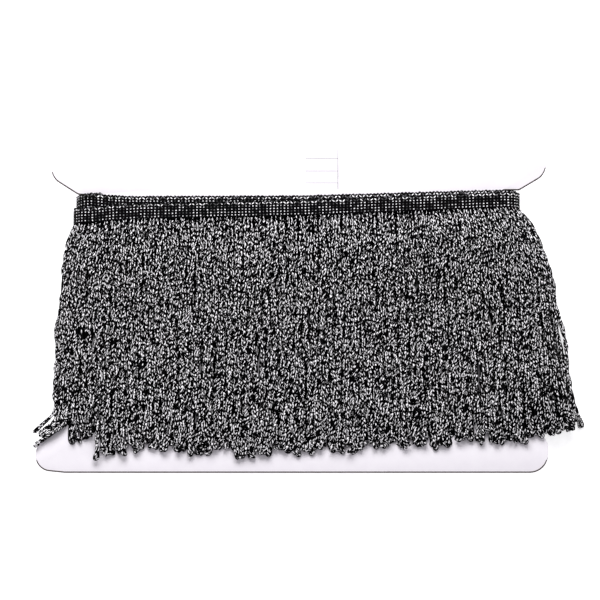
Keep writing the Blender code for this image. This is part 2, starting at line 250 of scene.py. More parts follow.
# %% [markdown]
# The card is one flat piece. By hand it is easiest to start from a filled circle with as many points
# as the outline has corners, put each point on its corner, and round each corner with a vertex
# bevel. A vertex bevel slides along both edges by its offset, so the offset for a radius comes from
# the corner's angle.

# %% Card
CARD_CORNERS = (
    # x, y, radius
    (-155.0, 100.5, 16.0),
    (-155.0, 79.1, 9.0),
    (-138.6, 68.5, 4.0),
    (NECK_LEFT, 68.5, 0.5),
    (NECK_LEFT, -67.0, 6.0),
    (-163.4, -79.4, 14.0),
    (-163.4, -98.7, 9.0),
    (-146.0, -100.5, 15.0),
    (143.0, -100.5, 11.0),
    (143.0, -80.3, 9.0),
    (NECK_RIGHT, -63.0, 10.0),
    (NECK_RIGHT, 71.3, 0.5),
    (126.6, 71.3, 4.0),
    (143.0, 81.2, 10.0),
    (143.0, 100.5, 16.0),
)
CORNER_SEGMENTS = 10
EDGE_ROUNDING = 0.7


def pick(kind, wanted):
    """Selects the vertices, edges or faces in edit mode for which wanted() is true."""
    bpy.ops.object.mode_set(mode="OBJECT")
    mesh = bpy.context.object.data
    for group in (mesh.vertices, mesh.edges, mesh.polygons):
        group.foreach_set("select", [False] * len(group))
    for item in getattr(mesh, kind):
        item.select = wanted(item)
    bpy.ops.object.mode_set(mode="EDIT")


bpy.ops.object.select_all(action="DESELECT")
bpy.ops.mesh.primitive_circle_add(vertices=len(CARD_CORNERS), fill_type="NGON", radius=0.1)
card = bpy.context.object
card.name = "display_card"
for point, (x, y, _) in zip(card.data.vertices, CARD_CORNERS):
    point.co = (x * MM, y * MM, CARD_BACK_Z * MM)
bpy.ops.object.mode_set(mode="EDIT")
for number, (x, y, radius) in enumerate(CARD_CORNERS):
    corner = np.array((x, y))
    before = np.array(CARD_CORNERS[number - 1][:2]) - corner
    after = np.array(CARD_CORNERS[(number + 1) % len(CARD_CORNERS)][:2]) - corner
    cosine = before @ after / np.linalg.norm(before) / np.linalg.norm(after)
    offset = radius / math.tan(math.acos(cosine) / 2)
    bpy.ops.mesh.select_mode(type="VERT")
    pick("vertices", lambda v: abs(v.co.x / MM - x) < 0.01 and abs(v.co.y / MM - y) < 0.01)
    bpy.ops.mesh.bevel(offset=offset * MM, segments=CORNER_SEGMENTS, affect="VERTICES", clamp_overlap=False)

# %% [markdown]
# The flat outline is extruded to the board's thickness. The die presses both rims of the edge in as it
# cuts, so each is rounded by 0.7 mm. The narrow side between them is bare pulp all round the card.
# Where the rounding looks towards the hem, away from the softbox, it takes the same dark finish as
# painted shade, and elsewhere it keeps the coating, as the two faces do.

# %% Card thickness and edge
# A face is upright where its normal's Z is under SIDE_Z, and flat from FACE_Z up. It looks towards the
# hem where its normal's Y is under the hemward limit, and there the rounding takes the dark finish as
# painted shade.
SIDE_Z, FACE_Z, HEMWARD_SHADE_Y = 0.3, 0.95, -0.1
bpy.ops.mesh.select_all(action="SELECT")
bpy.ops.mesh.extrude_region_move(TRANSFORM_OT_translate={"value": (0, 0, CARD_THICK * MM)})
bpy.ops.mesh.select_all(action="SELECT")
bpy.ops.mesh.normals_make_consistent(inside=False)
bpy.ops.object.mode_set(mode="OBJECT")
rounding = card.modifiers.new("edge_rounding", "BEVEL")
rounding.width, rounding.segments = EDGE_ROUNDING * MM, 2
rounding.use_clamp_overlap = False
rounding.limit_method, rounding.angle_limit = "ANGLE", math.radians(60)
bpy.ops.object.modifier_apply(modifier=rounding.name)
card.data.materials.append(board)
card.data.materials.append(edge)
for face in card.data.polygons:
    upright, flat = abs(face.normal.z) < SIDE_Z, abs(face.normal.z) >= FACE_Z
    # painted shade: rounding that looks towards the hem gets the dark pulp finish; the upright side is real
    # bare pulp
    pulp_and_painted_shade = upright or (not flat and face.normal.y < HEMWARD_SHADE_Y)
    face.material_index = 1 if pulp_and_painted_shade else 0
bpy.ops.object.shade_smooth_by_angle(angle=math.radians(35))
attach(card, "root")
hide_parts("card")
print("card has", len(card.data.polygons), "faces")

# %% [markdown]
# The heading is one long band, so its middle line comes first. It starts with a short lap on the
# front, goes round the neck's left edge to the back, and winds outwards through five turns and a
# part turn. The heights of each run are the ones that the solids have: the last front run has slid
# down at the left, as in the photograph.
#
# A curve drawn by hand could give such a spiral, but every strand has to hang from it at a known
# place, so it is worked out as points.

# %% Middle line of the heading
RUN_X = (-130.6, -118.0, -101.0, -5.0, 117.6)
FRONT_Y = (
    # at each place of RUN_X, one row for each turn
    (63.0, 61.5, 61.4, 61.9, 65.2),
    (62.6, 61.2, 61.1, 61.5, 65.5),
    (63.1, 61.7, 61.6, 62.0, 65.1),
    (62.9, 61.4, 61.3, 61.6, 65.4),
    (54.0, 55.3, 56.7, 58.6, 63.7),
)
BACK_Y = (
    (61.3, 61.4, 61.5, 62.0, 63.9),
    (61.0, 61.1, 61.2, 61.7, 64.2),
    (61.3, 61.4, 61.5, 62.1, 64.0),
    (61.1, 61.2, 61.3, 61.8, 64.1),
    (61.2, 61.1, 61.0, 61.6, 64.2),
    (55.6, 55.9, 56.4, 59.0, 63.0),
)
LAP_END_X, LAP_Y, LAP_BEND_Y = -124.7, 64.6, 63.6
PICK_PITCH = 2.1
RUN_STEP, BEND_POINTS = 1.5, 20


def smooth(value, low, high):
    """0 before low and 1 after high, with an eased climb between."""
    share = np.clip((np.asarray(value, float) - low) / (high - low), 0, 1)
    return share * share * (3 - 2 * share)


def run_places(start, end, heights, side, level_of):
    """Places along a straight run on the card's front or back."""
    x = np.linspace(start, end, max(2, round(abs(end - start) / RUN_STEP)))
    z = CARD_MID_Z + side * np.array([radius_of(level_of(v)) for v in x])
    return np.stack([x, np.interp(x, RUN_X, heights), z, 0 * x, 0 * x + side], 1)


def bend_places(side, level, from_front, y_start, y_end):
    """Places round the neck's right edge, side 1, or its left edge, side -1."""
    share = np.linspace(0, 1, BEND_POINTS)[1:-1]
    angle = math.pi * (share if from_front else 1 - share)
    out_x, out_z = side * np.sin(angle), np.cos(angle)
    neck = NECK_RIGHT if side > 0 else NECK_LEFT
    reach = radius_of(level)
    y = y_start + (y_end - y_start) * smooth(share, 0, 1)
    return np.stack([neck + reach * out_x, y, CARD_MID_Z + reach * out_z, out_x, out_z], 1)


def heading_line(step):
    """Rows of x, y, z, outward x and outward z along the band, and the distance along it."""
    lap_z = CARD_MID_Z + radius_of(1)
    rows = [np.array([(LAP_END_X, LAP_Y, lap_z, 0, 1), (NECK_LEFT, LAP_BEND_Y, lap_z, 0, 1)])]
    for turn in range(1, FULL_TURNS + 1):
        back, front = BACK_Y[turn - 1], FRONT_Y[turn - 1]
        rows.append(bend_places(-1, turn, True, rows[-1][-1][1], back[0]))
        rows.append(run_places(NECK_LEFT, NECK_RIGHT, back, BACK, lambda x: turn))
        rows.append(bend_places(1, turn, False, back[-1], front[-1]))
        climb = lambda x: turn + 1 - smooth(x, RAMP_LEFT_X, RAMP_RIGHT_X)
        rows.append(run_places(NECK_RIGHT, NECK_LEFT, front, FRONT, climb))
    rows.append(bend_places(-1, OUTER_LEVEL, True, FRONT_Y[-1][0], BACK_Y[-1][0]))
    rows.append(run_places(NECK_LEFT, OUTER_END_X, BACK_Y[-1], BACK, lambda x: OUTER_LEVEL))
    rows = np.concatenate(rows)
    along = np.concatenate([[0], np.cumsum(np.linalg.norm(np.diff(rows[:, :3], axis=0), axis=1))])
    even = np.arange(0, along[-1], step)
    line = np.stack([np.interp(even, along, rows[:, i]) for i in range(5)], 1)
    line[:, 3:] /= np.linalg.norm(line[:, 3:], axis=1)[:, None]
    return line, even


line, along = heading_line(PICK_PITCH / 2)
print("heading is", round(along[-1] * MM, 2), "m long")

# %% [markdown]
# The heading is woven on a narrow loom from black rayon, and white rayon picks come up through it in
# four rows of dots, 2.1 mm apart along the band and 1.73 mm apart down it. A white thread runs over
# them in a zigzag, one slant to each pick, and dips under the black where it turns. The pattern
# follows the band's own UV map: U counts picks along it and V is the height in millimetres.
#
# A loom never repeats quite exactly, so noise shifts each dot a little and dims some of them.

# %% Woven heading finish
ZIGZAG_V, ZIGZAG_RISE, THREAD_HALF, THREAD_REACH = 3.7, 1.5, 0.33, 0.60
FIRST_DOTS_V, DOT_ROWS, DOT_ROW_PITCH = 1.95, 4, 1.73
DOT_HALF_ALONG, DOT_HALF_DOWN = 0.34, 0.26
woven, tree, shader = start_finish("woven black rayon with white picks", 0.6, 1.5, specular=0.02)
uv = add_node(tree, "UVMap", {"uv_map": "weave"}).outputs["UV"]
place = add_node(tree, "TexCoord").outputs["Object"]
wander = add_node(tree, "TexNoise", Vector=place, Scale=700.0, Detail=1.0)
shift = add_node(tree, "VectorMath", {"operation": "MULTIPLY_ADD"}, i0=wander.outputs["Color"],
                 i1=(0.30, 0.55, 0.0), i2=(-0.15, -0.28, 0.0))
moved = add_node(tree, "VectorMath", {"operation": "ADD"}, i0=uv, i1=shift.outputs["Vector"])
axes = add_node(tree, "SeparateXYZ", Vector=moved.outputs["Vector"])
pick_u, pick_v = axes.outputs["X"], axes.outputs["Y"]


def soft_box(tree, distance, half, edge_width=0.07):
    """1 where a distance is under half, with a soft edge."""
    node = add_node(tree, "MapRange", {"interpolation_type": "SMOOTHSTEP"}, Value=distance,
                    From_Min=half + edge_width, From_Max=half - edge_width)
    return node.outputs["Result"]


def cell_distance(tree, value, pitch):
    """The distance in millimetres from the middle of the nearest cell."""
    off_middle = math_node(tree, "SUBTRACT", math_node(tree, "FRACT", value), 0.5)
    return math_node(tree, "MULTIPLY", math_node(tree, "ABSOLUTE", off_middle), pitch)


from_pick = cell_distance(tree, pick_u, PICK_PITCH)
below_top = math_node(tree, "SUBTRACT", FIRST_DOTS_V + DOT_ROW_PITCH / 2, pick_v)
rows_v = math_node(tree, "DIVIDE", below_top, DOT_ROW_PITCH)
dots = math_node(tree, "MULTIPLY", soft_box(tree, from_pick, DOT_HALF_ALONG),
                 soft_box(tree, cell_distance(tree, rows_v, DOT_ROW_PITCH), DOT_HALF_DOWN))
from_middle_row = math_node(tree, "ABSOLUTE", math_node(tree, "SUBTRACT", rows_v, DOT_ROWS / 2))
dots = math_node(tree, "MULTIPLY", dots, soft_box(tree, from_middle_row, DOT_ROWS / 2, 0.02))
up_and_down = math_node(tree, "PINGPONG", pick_u, 1.0)
thread_v = math_node(tree, "MULTIPLY_ADD", up_and_down, ZIGZAG_RISE, ZIGZAG_V - ZIGZAG_RISE / 2)
from_thread = math_node(tree, "ABSOLUTE", math_node(tree, "SUBTRACT", pick_v, thread_v))
stitches = math_node(tree, "MULTIPLY", soft_box(tree, from_thread, THREAD_HALF, 0.1),
                     soft_box(tree, from_pick, THREAD_REACH, 0.1))
white_share = math_node(tree, "MAXIMUM", dots, stitches)
uneven = add_node(tree, "TexNoise", Vector=place, Scale=260.0, Detail=2.0, Roughness=0.7)
strength = add_node(tree, "MapRange", Value=uneven.outputs["Fac"], From_Min=0.45, From_Max=0.54, To_Min=0.06,
                    To_Max=1.0)
white_share = math_node(tree, "MULTIPLY", white_share, strength.outputs["Result"])
weave_colour = add_node(tree, "MixRGB", i0=white_share, i1=BLACK_YARN, i2=WHITE_YARN)
tree.links.new(weave_colour.outputs["Color"], shader.inputs["Base Color"])
# ribs across the band, 1 mm apart
ribs = add_node(tree, "TexWave", {"wave_profile": "SIN"}, Vector=uv, Scale=0.64, Distortion=0.4)
relief = math_node(tree, "MULTIPLY_ADD", white_share, 0.8, ribs.outputs["Fac"])
surface = add_node(tree, "Bump", Height=relief, Strength=0.3, Distance=0.0003)
tree.links.new(surface.outputs["Normal"], shader.inputs["Normal"])

# %% [markdown]
# A chainette is a fine tube of knitted stitches. This one is knitted from a black and a white end
# together, so each stitch shows a slanted fleck of one or the other. The flecks slant one way on one
# side of the strand and the other way on its other side, and a slow noise says which side lies up.
# A stitch is 2.6 mm long. The strand's UV map gives the way round it as U and the distance along it
# in stitches as V.

# %% Chainette stitches
STITCH_LENGTH = 2.6
# The slant is in stitches for a turn round the tube, and the cells of noise are counted to a stitch.
FLECK_SLANT, FACING_CELLS = 2.2, 0.08
marl, tree, shader = start_finish("black and white rayon chainette", 0.55, 1.5, specular=0.03)
uv = add_node(tree, "UVMap", {"uv_map": "stitches"}).outputs["UV"]
axes = add_node(tree, "SeparateXYZ", Vector=uv)
round_u, along_v = axes.outputs["X"], axes.outputs["Y"]


def noise_along(tree, cells, detail):
    """Noise that changes only along the strand."""
    way = math_node(tree, "MULTIPLY", along_v, cells)
    noise = add_node(tree, "TexNoise", {"noise_dimensions": "1D"}, W=way, Scale=1.0, Detail=detail)
    return noise.outputs["Fac"]


other_side = math_node(tree, "GREATER_THAN", noise_along(tree, FACING_CELLS, 0.0), 0.5)
slant = math_node(tree, "MULTIPLY_ADD", other_side, 2 * FLECK_SLANT, -FLECK_SLANT)
folded = math_node(tree, "PINGPONG", round_u, 0.5)
turn = math_node(tree, "MULTIPLY_ADD", folded, slant, along_v)
stitch = math_node(tree, "SINE", math_node(tree, "MULTIPLY", turn, 2 * math.pi))
print("one side faces up for about", round(STITCH_LENGTH / FACING_CELLS), "mm")

# %% [markdown]
# The yarn is lively, so no two stitches show the same. A noise about as wide as a yarn, drawn out
# along the slant of the stitches, makes flecks of all lengths. A slower one makes each strand
# lighter and darker by turns. Towards the tube's two sides the flecks are painted black as shade,
# where the stitches curve away from the light.

# %% Chainette colour
# cells of noise to a stitch, to a turn round the tube, and to a stitch for the slower noise
CELLS_ALONG, CELLS_ROUND, SHADE_CELLS = 1.9, 3.6, 0.16
# how much each part counts for in the sum, and where the sum turns from black to white
TANGLE, SHADE, SIDES_PAINTED_SHADE, STITCH_WAVE = 8.5, 2.0, 2.8, 0.45
BLACK_UP_TO, WHITE_FROM = 0.75, 0.79
slanted = add_node(tree, "CombineXYZ", X=math_node(tree, "MULTIPLY", turn, CELLS_ALONG),
                   Y=math_node(tree, "MULTIPLY", round_u, CELLS_ROUND))
yarn_noise = add_node(tree, "TexNoise", {"noise_dimensions": "2D"}, Vector=slanted.outputs["Vector"],
                      Scale=1.0, Detail=0.0)
tangle = math_node(tree, "MULTIPLY_ADD", yarn_noise.outputs["Fac"], TANGLE, -TANGLE / 2)
along_strand = math_node(tree, "MULTIPLY_ADD", noise_along(tree, SHADE_CELLS, 1.0), SHADE, -SHADE / 2)
# painted shade: the flecks turn black towards the tube's two sides, as if those sides were in shade
to_side = math_node(tree, "COSINE", math_node(tree, "MULTIPLY", round_u, 2 * math.pi))
painted_side_shade = math_node(tree, "POWER", math_node(tree, "ABSOLUTE", to_side), 3.0)
tangle = math_node(tree, "MULTIPLY_ADD", painted_side_shade, -SIDES_PAINTED_SHADE, tangle)
mixed = math_node(tree, "ADD", math_node(tree, "MULTIPLY_ADD", stitch, STITCH_WAVE, tangle), along_strand)
flecks = add_node(tree, "MapRange", {"interpolation_type": "SMOOTHSTEP"}, Value=mixed,
                  From_Min=BLACK_UP_TO, From_Max=WHITE_FROM)
yarn_colour = add_node(tree, "MixRGB", i0=flecks.outputs["Result"], i1=BLACK_YARN, i2=WHITE_YARN)
tree.links.new(yarn_colour.outputs["Color"], shader.inputs["Base Color"])
surface = add_node(tree, "Bump", Height=mixed, Strength=0.3, Distance=0.0003)
tree.links.new(surface.outputs["Normal"], shader.inputs["Normal"])

# %% [markdown]
# The band, its loops and the strands are too many small things to model one by one by hand, so their
# meshes are built from arrays. One function makes a mesh from points, faces and the UV of each
# face corner, and checks with the signed volume that the faces point outwards.

# %% Mesh from arrays
def mesh_piece(name, points, faces, corner_uv, uv_name, finish, slot, *nodes):
    """A closed mesh in metres from points in millimetres, riding on the body."""
    quads = np.array([f for f in faces if len(f) == 4])
    a, b, c, d = (points[quads[:, i]] for i in range(4))
    volume = np.sum(np.cross(a, b) * c) + np.sum(np.cross(a, c) * d)
    if volume < 0:
        faces = [tuple(reversed(f)) for f in faces]
        corner_uv = [tuple(reversed(f)) for f in corner_uv]
    mesh = bpy.data.meshes.new(name)
    mesh.from_pydata((points * MM).tolist(), [], faces)
    layer = mesh.uv_layers.new(name=uv_name)
    layer.data.foreach_set("uv", np.concatenate([np.array(f).ravel() for f in corner_uv]).astype(np.float32))
    mesh.materials.append(finish)
    mesh.shade_smooth()
    piece = bpy.data.objects.new(name, mesh)
    bpy.context.scene.collection.objects.link(piece)
    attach(piece, "root")
    if nodes:
        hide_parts(*nodes)
    triangles = sum(len(f) - 2 for f in faces)
    print(name, "has", triangles, "triangles")
    return piece

# %% [markdown]
# The band's section is a thin rounded rectangle. On its outer face every second point stands proud,
# as the picks do between the warp cords, so the light picks out a real relief. The inner face is
# hidden against the next turn and stays smooth.

# %% Heading band
RELIEF = 0.26
BODY_TOP, BODY_LOW = 4.45, -5.25
OUTER_POINTS, INNER_POINTS = 13, 7
INNER_INSET, EDGE_OUT = 0.35, 0.15
outer_v = np.linspace(BODY_TOP, BODY_LOW, OUTER_POINTS)
inner_v = np.linspace(BODY_LOW + INNER_INSET, BODY_TOP - INNER_INSET, INNER_POINTS)
section_v = np.concatenate([outer_v, inner_v])
section_out = np.repeat([BAND_THICK / 2, -BAND_THICK / 2], [OUTER_POINTS, INNER_POINTS])
section_out[[0, OUTER_POINTS - 1]] = EDGE_OUT
count, sides = len(line), len(section_v)
checks = (np.arange(count)[:, None] + np.arange(OUTER_POINTS)[None, :]) % 2
sunk = np.zeros((count, sides))
sunk[:, 1:OUTER_POINTS - 1] = RELIEF * checks[:, 1:-1]
out = section_out[None, :] - sunk
band_points = np.stack([
    line[:, None, 0] + out * line[:, None, 3],
    line[:, None, 1] + section_v[None, :] + 0 * out,
    line[:, None, 2] + out * line[:, None, 4],
], 2).reshape(-1, 3)
band_faces, band_uv = [], []
for i in range(count - 1):
    for j in range(sides):
        k = (j + 1) % sides
        band_faces.append((i * sides + j, i * sides + k, (i + 1) * sides + k, (i + 1) * sides + j))
        u0, u1 = i / 2, (i + 1) / 2
        band_uv.append(((u0, section_v[j]), (u0, section_v[k]), (u1, section_v[k]), (u1, section_v[j])))
for i in (0, count - 1):
    ring = [i * sides + j for j in range(sides)]
    band_faces.append(tuple(reversed(ring)) if i == 0 else tuple(ring))
    corners = [(i / 2, v) for v in section_v]
    band_uv.append(tuple(reversed(corners)) if i == 0 else tuple(corners))
heading = mesh_piece("woven_heading", band_points, band_faces, band_uv, "weave", woven, "heading", "heading")

# %% [markdown]
# A tube function serves the loops along the heading's top edge and all of the strands. It takes many
# centre lines at once, as one array of strand, point and place, and draws each as a closed tube.
# U goes round the tube once, and V counts stitches along it from a start of its own, so that no
# two strands are alike.

# %% Tubes along many lines
def tubes(paths, radii, sides, v_scale, v_start):
    """Points, faces and corner UV for one closed tube along each path."""
    strands, rings, _ = paths.shape
    tangent = np.gradient(paths, axis=1)
    tangent /= np.linalg.norm(tangent, axis=2, keepdims=True)
    across = np.cross(tangent, (0.0, 0.0, 1.0))
    across /= np.linalg.norm(across, axis=2, keepdims=True) + 1e-9
    upward = np.cross(across, tangent)
    angle = np.arange(sides) / sides * 2 * math.pi
    ring = across[:, :, None] * np.cos(angle)[:, None] + upward[:, :, None] * np.sin(angle)[:, None]
    points = paths[:, :, None] + ring * radii[:, :, None, None]
    steps = np.linalg.norm(np.diff(paths, axis=1), axis=2)
    length = np.concatenate([np.zeros((strands, 1)), np.cumsum(steps, 1)], 1)
    v = length / v_scale + v_start[:, None]
    s, i, j = np.meshgrid(np.arange(strands), np.arange(rings - 1), np.arange(sides), indexing="ij")
    s, i, j = s.ravel(), i.ravel(), j.ravel()
    k = (j + 1) % sides
    here = (s * rings + i) * sides
    there = here + sides
    quads = np.stack([here + j, here + k, there + k, there + j], 1)
    quad_uv = np.stack([
        np.stack([j / sides, v[s, i]], 1), np.stack([(j + 1) / sides, v[s, i]], 1),
        np.stack([(j + 1) / sides, v[s, i + 1]], 1), np.stack([j / sides, v[s, i + 1]], 1),
    ], 1)
    faces = [tuple(q) for q in quads.tolist()]
    uvs = [tuple(map(tuple, q)) for q in quad_uv.tolist()]
    for strand in range(strands):
        first = strand * rings * sides
        last = first + (rings - 1) * sides
        faces.append(tuple(first + side for side in reversed(range(sides))))
        faces.append(tuple(last + side for side in range(sides)))
        uvs.append(tuple((side / sides, float(v[strand, 0])) for side in range(sides)))
        uvs.append(tuple((side / sides, float(v[strand, -1])) for side in range(sides)))
    return points.reshape(-1, 3), faces, uvs

# %% [markdown]
# Each pick of the weave turns at the band's top edge in a small black loop, which gives the edge its
# fine scallop. The loops are 2.1 mm apart, one for each pick, and about as thick as the yarn. Grey
# glints are painted on them as highlights.

# %% Loops along the top edge
LOOP_RISES, LOOP_LEANS, LOOP_LEAN = (0.7, 1.15), (-0.35, 0.35), 0.25
LOOP_FOOT, LOOP_STEPS, LOOP_YARN = 0.35, 7, 0.36
chance = np.random.default_rng(7)
loop_line, _ = heading_line(PICK_PITCH)
loop_next = np.roll(loop_line, -1, axis=0)
loop_line, loop_next = loop_line[:-1], loop_next[:-1]
share = np.linspace(0, 1, LOOP_STEPS)[None, :, None]
arch = np.sin(np.linspace(0, math.pi, LOOP_STEPS))[None, :]
loop_paths = loop_line[:, None, :3] * (1 - share) + loop_next[:, None, :3] * share
rise = chance.uniform(*LOOP_RISES, len(loop_line))
loop_paths[:, :, 1] += BODY_TOP - LOOP_FOOT + rise[:, None] * arch
lean = chance.uniform(*LOOP_LEANS, len(loop_line))[:, None] + LOOP_LEAN
loop_paths[:, :, 0] += lean * loop_line[:, None, 3] * arch
loop_paths[:, :, 2] += lean * loop_line[:, None, 4] * arch
loop_count = len(loop_paths)
loop_mesh = tubes(loop_paths, np.full((loop_count, LOOP_STEPS), LOOP_YARN), 4, STITCH_LENGTH,
                  chance.uniform(0, 9, loop_count))

gimp, tree, shader = start_finish("black rayon loop yarn with painted glints", 0.55, 1.5, specular=0.03)
place = add_node(tree, "TexCoord").outputs["Object"]
# painted highlight: where this noise is high, the black loops are painted grey as glints
ends = add_node(tree, "TexNoise", Vector=place, Scale=600.0, Detail=1.0)
glint = add_node(tree, "MapRange", Value=ends.outputs["Fac"], From_Min=0.60, From_Max=0.68)
gimp_colour = add_node(tree, "MixRGB", i0=glint.outputs["Result"], i1=linear("040405"), i2=linear("8f8d93"))
tree.links.new(gimp_colour.outputs["Color"], shader.inputs["Base Color"])
heading_loops = mesh_piece("heading_edge_loops", *loop_mesh, "stitches", gimp, "heading")

# %% [markdown]
# The strands lie in six layers, three in front of the card and three behind it, like their solids.
# Each layer has a height over the table at each share of the way down. A strand's place along the
# trim is s, counted from x = 0, so strands past the neck's edges hang from the band's round bends.
# The winding lets the strands spread at both ends, most of all near the top.

# %% How a layer of strands lies
INNER_LEFT, INNER_RIGHT = NECK_LEFT + 6.0, NECK_RIGHT - 6.0
# how far the ends spread, from which s, and how much of that happens fast near the top
FLARE_RATE = 0.12
FLARE_RIGHT, FLARE_RIGHT_FROM, FLARE_RIGHT_FAST = 31.0, 20.0, 0.38
FLARE_LEFT, FLARE_LEFT_FROM, FLARE_LEFT_FAST = 6.5, -60.0, 0.6
# at shares of the way down: the underside of the front's outer layer, and the top of the back's inner
STACK_AT = (0.0, 0.16, 0.34, 0.58, 0.82, 1.0)
FRONT_STACK_Z = (18.9, 18.6, 18.1, 17.4, 16.4, 15.3)
BACK_STACK_Z = (9.9, 9.4, 8.8, 8.0, 7.2, 6.6)
SETTLED_AT, FALLEN_AT = 0.16, 0.8
LOCK_THICK = 2.2
MIDDLE_LEVEL, INNER_LEVEL = 3.5, 1.5
# the underside of the front's outer strands at the hem, where they hang past the card
HEM_END_X = (-150.0, -132.0, 132.0, 139.0, 146.5, 150.0, 161.0)
HEM_END_Z = (12.6, 15.3, 15.3, 14.8, 12.6, 9.5, 4.0)
LIMIT_RIGHT = NECK_RIGHT + radius_of(FULL_TURNS) * math.pi / 2
LIMIT_LEFT = NECK_LEFT - radius_of(OUTER_LEVEL) * math.pi / 2
# the back hem
HEM_X = (-153.0, -140.0, -122.0, -105.0, -60.0, -38.0, 20.0, 60.0, 90.0, 127.0, 140.0, 160.0)
HEM_Y = (-75.0, -82.0, -89.0, -87.5, -88.5, -91.0, -89.0, -86.5, -83.0, -82.0, -78.5, -74.0)


def hem_x(s):
    """Where along x a strand that hangs from s ends."""
    right = np.clip((s - FLARE_RIGHT_FROM) / (LIMIT_RIGHT - FLARE_RIGHT_FROM), 0, None)
    left = np.clip((s - FLARE_LEFT_FROM) / (LIMIT_LEFT - FLARE_LEFT_FROM), 0, None)
    return s + FLARE_RIGHT * right ** 2 - FLARE_LEFT * left ** 2


def flare(s, share):
    """How much of its way across a strand has gone: part of it fast near the top, the rest evenly."""
    fast = np.where(s > 0, FLARE_RIGHT_FAST, FLARE_LEFT_FAST)[:, None]
    return fast * (1 - np.exp(-share / FLARE_RATE)) / (1 - math.exp(-1 / FLARE_RATE)) + (1 - fast) * share


def root_place(side, depth, s):
    """Middle of the band at s, as x and z."""
    if depth == "outer":
        if side == FRONT:
            reach = radius_of(np.interp(s, (RAMP_LEFT_X, RAMP_RIGHT_X), (OUTER_LEVEL, FULL_TURNS)))
        else:
            reach = radius_of(np.interp(s, (OUTER_END_X, BACK_STEP_X), (OUTER_LEVEL, FULL_TURNS)))
    else:
        reach = radius_of(INNER_LEVEL if depth == "inner" else MIDDLE_LEVEL) + 0 * s
    past = np.clip(s - NECK_RIGHT, 0, None) + np.clip(s - NECK_LEFT, None, 0)
    angle = past / reach
    neck = np.clip(s, NECK_LEFT, NECK_RIGHT)
    return neck + reach * np.sin(angle), CARD_MID_Z + side * reach * np.cos(angle)


def root_y(side, depth, s):
    """Where the strands leave the band's lower edge."""
    if depth != "outer":
        runs = (*FRONT_Y[:-1], *BACK_Y[:-2])
        return np.min([np.interp(s, RUN_X, run) for run in runs], axis=0) - BAND_HEIGHT / 2
    own = FRONT_Y[-1] if side == FRONT else BACK_Y[-2]
    other = BACK_Y[-2] if side == FRONT else FRONT_Y[-1]
    y = np.interp(s, RUN_X, own)
    if side == BACK:
        last = np.interp(s, RUN_X, BACK_Y[-1])
        y = last + (y - last) * np.interp(s, (OUTER_END_X, BACK_STEP_X), (0, 1))
    quarter = radius_of(FULL_TURNS) * math.pi / 2
    y = y + (other[-1] - own[-1]) / 2 * np.clip(s - NECK_RIGHT, 0, None) / quarter
    y = np.where(s < NECK_LEFT, min(FRONT_Y[-1][0], BACK_Y[-1][0]), y)
    return y - BAND_HEIGHT / 2


def layer_z(side, depth, share):
    """The middle height of a layer, a share of the way down."""
    if side == FRONT:
        floor_z = CARD_FRONT_Z + LAYER_GAP
        outer = np.interp(share, STACK_AT, FRONT_STACK_Z)
        middle = (floor_z + outer - LAYER_GAP) / 2
        layers = (outer + LOCK_THICK / 2, (middle + outer) / 2, (floor_z + middle) / 2)
    else:
        outer = np.interp(share, (0, SETTLED_AT), (LAYER_PITCH + BAND_THICK, LOCK_THICK))
        ceiling = np.interp(share, STACK_AT, BACK_STACK_Z)
        middle = (outer + LAYER_GAP + ceiling) / 2
        layers = (outer - LOCK_THICK / 2, (outer + middle) / 2, (middle + ceiling) / 2)
    return layers[("outer", "middle", "inner").index(depth)]


print("strands hang from s =", round(LIMIT_LEFT), "to", round(LIMIT_RIGHT), "mm")

# %% [markdown]
# The hem isn't cut: each strand is a long loop that goes down, turns and comes up again. The ends
# cling together in bunches about 6 mm wide, and some bunches hang lower than others. The front ones
# are placed as they hang in the photograph, from left to right, and the back ones by chance.

# %% Bunches along the hem
FRONT_BUNCHES = (
    # x and lowest y of each
    (-147.5, -73.5), (-141.6, -83.5), (-133.8, -80.0), (-120.8, -91.5), (-112.1, -90.0), (-103.1, -88.0),
    (-92.9, -86.0), (-86.9, -88.5), (-76.7, -88.5), (-69.5, -90.0), (-60.5, -90.0), (-51.0, -86.0),
    (-42.1, -92.0), (-36.5, -92.0), (-25.7, -91.0), (-13.4, -88.5), (-7.3, -90.0), (1.9, -90.0),
    (14.2, -87.5), (17.0, -88.6), (28.3, -89.0), (40.9, -86.0), (46.0, -86.0), (56.5, -86.0),
    (67.3, -85.5), (75.4, -85.5), (81.5, -85.5), (89.5, -82.0), (94.3, -81.5), (102.1, -82.5),
    (110.5, -83.5), (116.0, -82.5), (121.3, -80.0), (127.6, -83.6), (131.0, -80.5), (138.7, -80.0),
    (145.5, -77.5), (151.3, -76.5), (158.5, -74.5),
)
BACK_WIDTHS, BACK_RISES = (7.5, 14.0), (-2.0, 3.0)
BACK_FROM_X, BACK_TO_X = -160.0, 172.0
# how much higher the ends between two bunches are, and about how far from a bunch they rise
RECESS_RISE, BUNCH_SPREAD = 4.6, 2.9


def back_bunches():
    """The places of the back hem's bunches, like FRONT_BUNCHES."""
    places, at = [], BACK_FROM_X
    while at < BACK_TO_X:
        width = chance.uniform(*BACK_WIDTHS)
        x = at + width / 2
        places.append((x, np.interp(x, HEM_X, HEM_Y) + chance.uniform(*BACK_RISES)))
        at += width
    return places


bunches = {FRONT: np.array(FRONT_BUNCHES), BACK: np.array(back_bunches())}
print(len(bunches[FRONT]), "bunches along the front hem and", len(bunches[BACK]), "along the back one")

# %% [markdown]
# One loop is drawn as a tube along one line: down the first leg, round the end, and up the second
# leg. The two legs twist round each other, as such loops do, and both sway a little, with slow waves
# of a few centimetres and fast ones of a centimetre or two. The end is a small open ring that lies
# at any angle.

